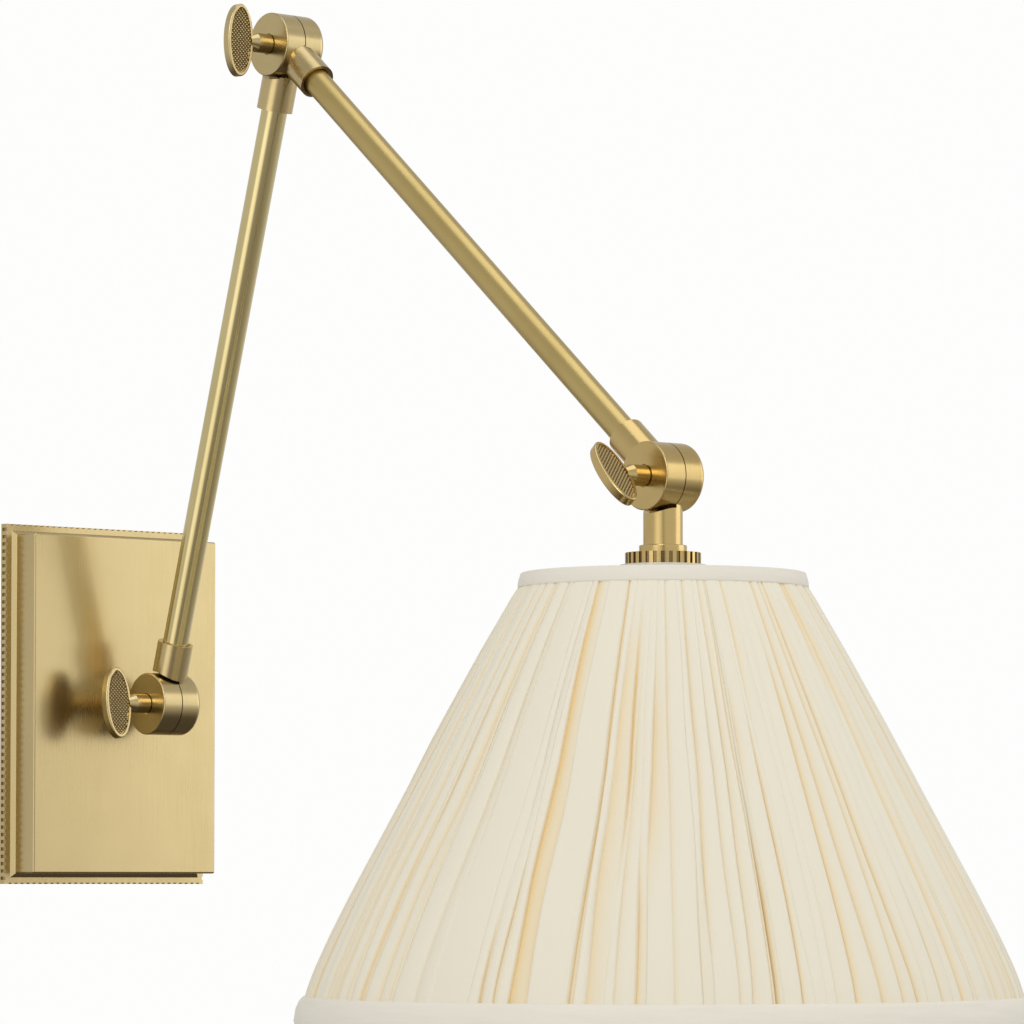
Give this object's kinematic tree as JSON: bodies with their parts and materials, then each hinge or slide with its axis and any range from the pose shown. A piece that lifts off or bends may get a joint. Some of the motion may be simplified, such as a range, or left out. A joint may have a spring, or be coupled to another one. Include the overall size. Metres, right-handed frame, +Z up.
{
  "type": "swing arm wall sconce",
  "caption": "Wall light with a flat oblong plate, hinged tubular arms clamped by thumb screws, and a gathered fabric cone shade.",
  "frame": {"origin": "middle of the wall plate's back face, on the wall", "axes": "+X to the right seen from the room, +Y into the wall, +Z up; every knuckle turns about an axis along X"},
  "size_m": [0.3276, 0.5818, 0.485],
  "materials": {
    "plate_brass": "burnished antique brass, soft brushed",
    "joint_brass": "satin antique brass, turned",
    "tube_brass": "satin antique brass, drawn",
    "screw_brass": "satin antique brass, dark in the knurling",
    "ring_brass": "polished antique brass, fluted",
    "zinc_steel": "zinc plated",
    "ground_green": "green dyed",
    "fibre_washer": "dark fibre",
    "wire_jacket": "clear gold jacket",
    "holder_brass": "satin",
    "holder_core": "glazed porcelain",
    "bulb_cap": "bright",
    "bulb_glass": "frosted white",
    "frame_wire": "ivory enamel",
    "shade_lining": "smooth ivory lining",
    "shade_cover": "soft gathered ivory silk and cotton",
    "shade_band": "plain ivory tape"
  },
  "bodies": {
    "wall_mount": {"base_plate": "plate_brass", "cover_box": "plate_brass", "mounting_strap": "zinc_steel", "side_screws": "screw_brass", "ground_screw": "ground_green", "wall_nipple": "zinc_steel", "wall_lock_washer": "zinc_steel", "wall_lock_nut": "zinc_steel", "wall_knuckle": "joint_brass", "wall_friction_washer": "fibre_washer"},
    "lower_arm": {"lower_arm_foot_knuckle": "joint_brass", "lower_arm_tube": "tube_brass", "lower_arm_head_knuckle": "joint_brass", "lower_arm_wire": "wire_jacket"},
    "upper_arm": {"upper_arm_foot_knuckle": "joint_brass", "upper_arm_tube": "tube_brass", "upper_arm_end_knuckle": "joint_brass", "upper_arm_wire": "wire_jacket", "elbow_friction_washer": "fibre_washer", "shade_friction_washer": "fibre_washer"},
    "shade_head": {"neck_knuckle": "joint_brass", "neck_collar": "ring_brass", "fluted_ring": "ring_brass", "neck_nipple": "zinc_steel", "holder_cap": "holder_brass", "holder_shell": "holder_brass", "holder_core": "holder_core", "holder_screw_shell": "holder_brass", "holder_centre_contact": "holder_brass", "bulb_cap": "bulb_cap", "bulb_glass": "bulb_glass", "shade_spider": "frame_wire", "shade_ribs": "frame_wire", "shade_lining": "shade_lining", "shade_cover": "shade_cover", "top_band": "shade_band", "bottom_band": "shade_band"},
    "wall_screw": {"wall_thumb_screw": "screw_brass"},
    "elbow_screw": {"elbow_thumb_screw": "screw_brass"},
    "shade_screw": {"shade_thumb_screw": "screw_brass"}
  },
  "joints": [
    {"name": "wall_hinge", "type": "hinge", "parent": "wall_mount", "child": "lower_arm", "pos_m": [0.0055, -0.0463, 0], "axis": [1, 0, 0], "range_deg": [-18, 60]},
    {"name": "elbow_hinge", "type": "hinge", "parent": "lower_arm", "child": "upper_arm", "pos_m": [0.0055, -0.14443, 0.31602], "axis": [1, 0, 0], "range_deg": [-90, 0]},
    {"name": "shade_hinge", "type": "hinge", "parent": "upper_arm", "child": "shade_head", "pos_m": [0.0055, -0.41804, 0.09046], "axis": [1, 0, 0], "range_deg": [-75, 45]},
    {"name": "wall_screw_turn", "type": "hinge", "parent": "lower_arm", "child": "wall_screw", "pos_m": [-0.0235, -0.0463, 0], "axis": [1, 0, 0], "range_deg": [-90, 90]},
    {"name": "elbow_screw_turn", "type": "hinge", "parent": "lower_arm", "child": "elbow_screw", "pos_m": [-0.0235, -0.14443, 0.31602], "axis": [1, 0, 0], "range_deg": [-90, 90]},
    {"name": "shade_screw_turn", "type": "hinge", "parent": "shade_head", "child": "shade_screw", "pos_m": [-0.0235, -0.41804, 0.09046], "axis": [1, 0, 0], "range_deg": [-90, 90]}
  ]
}
